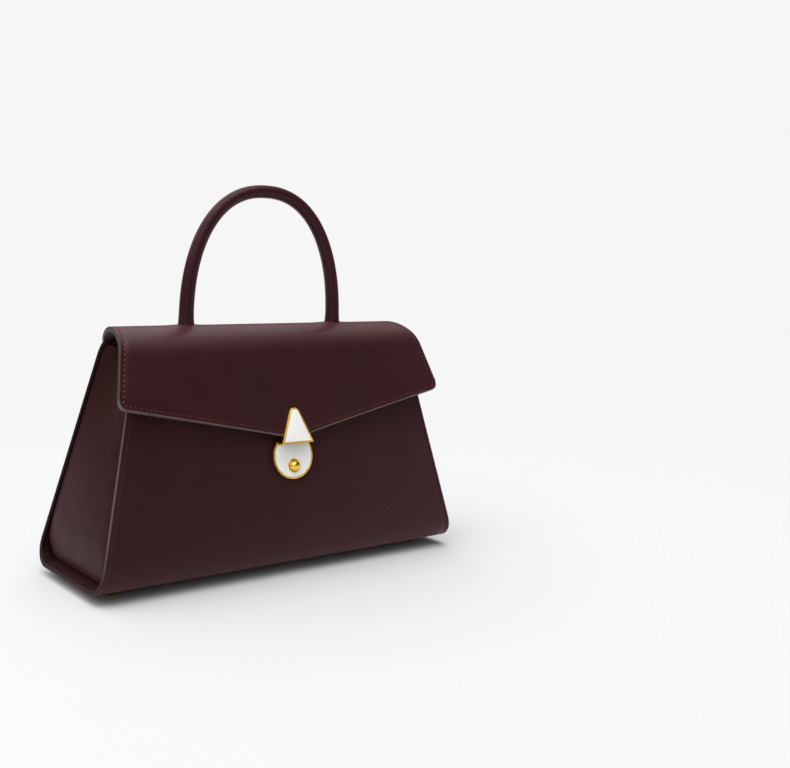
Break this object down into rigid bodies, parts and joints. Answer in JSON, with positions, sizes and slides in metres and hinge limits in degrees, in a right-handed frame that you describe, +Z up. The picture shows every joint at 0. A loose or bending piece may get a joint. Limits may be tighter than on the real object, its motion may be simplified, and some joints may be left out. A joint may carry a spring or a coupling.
{
  "type": "top handle satchel",
  "caption": "Tapered leather satchel with inset gussets, a pointed fold-over flap with a push lock, a rolled top handle, rear D-rings and metal feet.",
  "frame": {"origin": "on the floor, under the middle of the bag", "axes": "+X to the right as seen from the front, along the bag's width; +Y from the front to the rear; +Z up. The front, with the flap's point and the lock, faces -Y"},
  "size_m": [0.29, 0.1, 0.2673],
  "materials": {
    "leather": "smooth semi-gloss burgundy leather with painted edges and tonal stitching",
    "lining": "matt wine-coloured microfibre",
    "board": "plain stiffener sheet, hidden",
    "padding": "white wadding, hidden",
    "core": "plain handle cord, hidden",
    "gold": "polished pale gold plating",
    "enamel": "glossy white enamel, slightly pearly",
    "steel": "plain zinc-plated steel"
  },
  "bodies": {
    "bag_body": {"outer_wrap": "leather", "front_board": "board", "rear_board": "board", "base_board": "board", "front_padding": "padding", "rear_padding": "padding", "front_facing": "leather", "rear_facing": "leather", "body_lining": "lining", "left_gusset": "leather", "left_gusset_lining": "lining", "right_gusset": "leather", "right_gusset_lining": "lining", "foot_front_left": "gold", "foot_nut_front_left": "steel", "foot_front_right": "gold", "foot_nut_front_right": "steel", "foot_rear_left": "gold", "foot_nut_rear_left": "steel", "foot_rear_right": "gold", "foot_nut_rear_right": "steel", "flap_tail": "leather", "tail_padding": "padding", "left_dring_tab": "leather", "right_dring_tab": "leather", "lock_disc": "gold", "lock_enamel": "enamel", "lock_case": "steel", "left_lock_screw": "steel", "right_lock_screw": "steel", "return_spring": "steel"},
    "flap": {"flap_leather": "leather", "flap_board": "board", "flap_lining": "lining", "clasp_triangle": "gold", "clasp_enamel": "enamel", "clasp_catch": "steel", "left_clasp_rivet": "steel", "right_clasp_rivet": "steel", "handle_cover": "leather", "handle_core": "core", "left_handle_insert": "steel", "left_handle_washer": "steel", "left_handle_screw": "steel", "right_handle_insert": "steel", "right_handle_washer": "steel", "right_handle_screw": "steel"},
    "lock_button": {"lock_button": "gold", "latch_leaf": "steel", "latch_clip": "steel"},
    "left_dring": {"left_dring": "gold"},
    "right_dring": {"right_dring": "gold"}
  },
  "joints": [
    {"name": "flap_hinge", "type": "hinge", "parent": "bag_body", "child": "flap", "pos_m": [0, 0.02615, 0.16021], "axis": [-1, 0, 0], "range_deg": [0, 110], "deforming": ["latch_leaf"]},
    {"name": "lock_button_press", "type": "slide", "parent": "bag_body", "child": "lock_button", "axis": [0, 0.9842, -0.1772], "range_m": [0, 0.002], "stiffness_N_per_m": 400, "springref_m": -0.002, "deforming": ["return_spring"]},
    {"name": "left_dring_swing", "type": "hinge", "parent": "bag_body", "child": "left_dring", "pos_m": [-0.09168, 0.03257, 0.15221], "axis": [1, 0, 0], "range_deg": [0, 120]},
    {"name": "right_dring_swing", "type": "hinge", "parent": "bag_body", "child": "right_dring", "pos_m": [0.09168, 0.03257, 0.15221], "axis": [1, 0, 0], "range_deg": [0, 120]}
  ]
}
